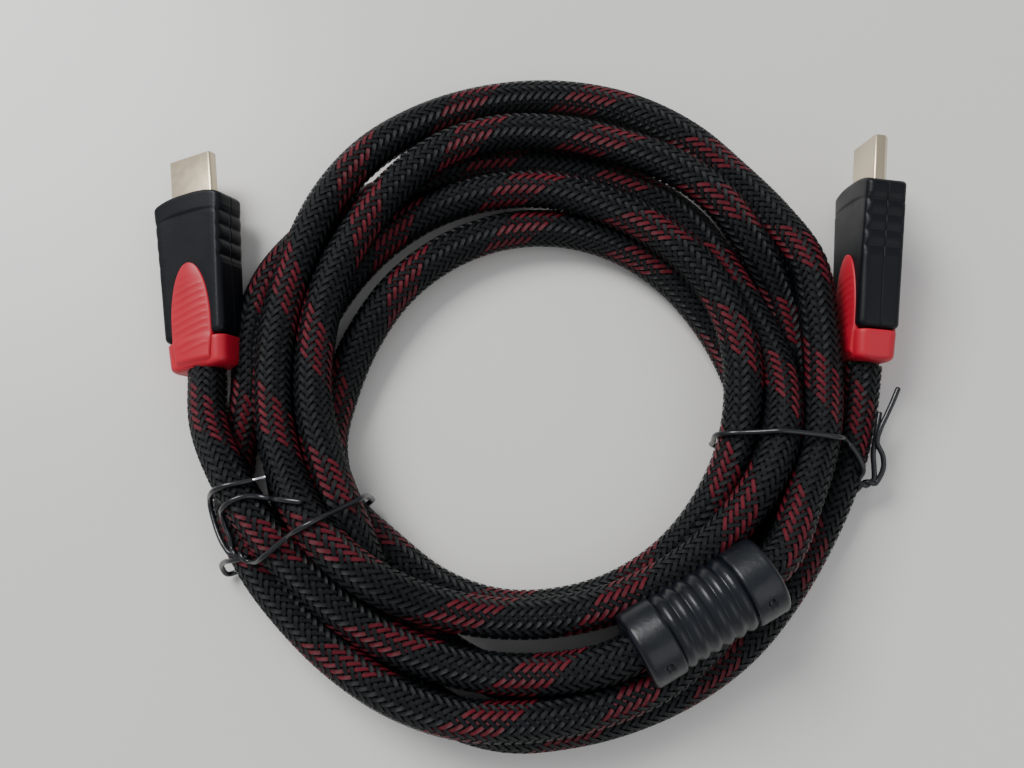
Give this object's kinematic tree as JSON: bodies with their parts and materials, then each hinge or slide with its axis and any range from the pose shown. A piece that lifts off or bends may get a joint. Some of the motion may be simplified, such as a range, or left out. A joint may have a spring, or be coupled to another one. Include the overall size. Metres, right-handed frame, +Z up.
{
  "type": "hdmi cable",
  "caption": "Coiled audio-video cable in a woven black and red sleeve, with moulded plugs, a ribbed ferrite choke and wire twist ties.",
  "frame": {"origin": "on the level the cable lies on, under the middle of the whole", "axes": "+X across the picture to the right, +Y away from the viewer towards the plug mouths, +Z up"},
  "size_m": [0.2034, 0.1842, 0.0306],
  "materials": {
    "woven_sleeve": "matt black nylon weave with dull red runs",
    "plug_shell": "satin gold plating",
    "contact_block": "matt",
    "grip_moulding": "satin blue-black",
    "collar_moulding": "satin red",
    "choke_moulding": "satin blue-black",
    "tie_wire": "dark coating over wire"
  },
  "bodies": {
    "root": {"cable_coil": "woven_sleeve", "cable_lead_left": "woven_sleeve", "cable_lead_right": "woven_sleeve", "ferrite_choke": "choke_moulding", "twist_tie_left": "tie_wire", "twist_tie_right": "tie_wire", "plug_left_shell": "plug_shell", "plug_left_contact_block": "contact_block", "plug_left_grip": "grip_moulding", "plug_left_collar": "collar_moulding", "plug_right_shell": "plug_shell", "plug_right_contact_block": "contact_block", "plug_right_grip": "grip_moulding", "plug_right_collar": "collar_moulding"}
  },
  "joints": []
}
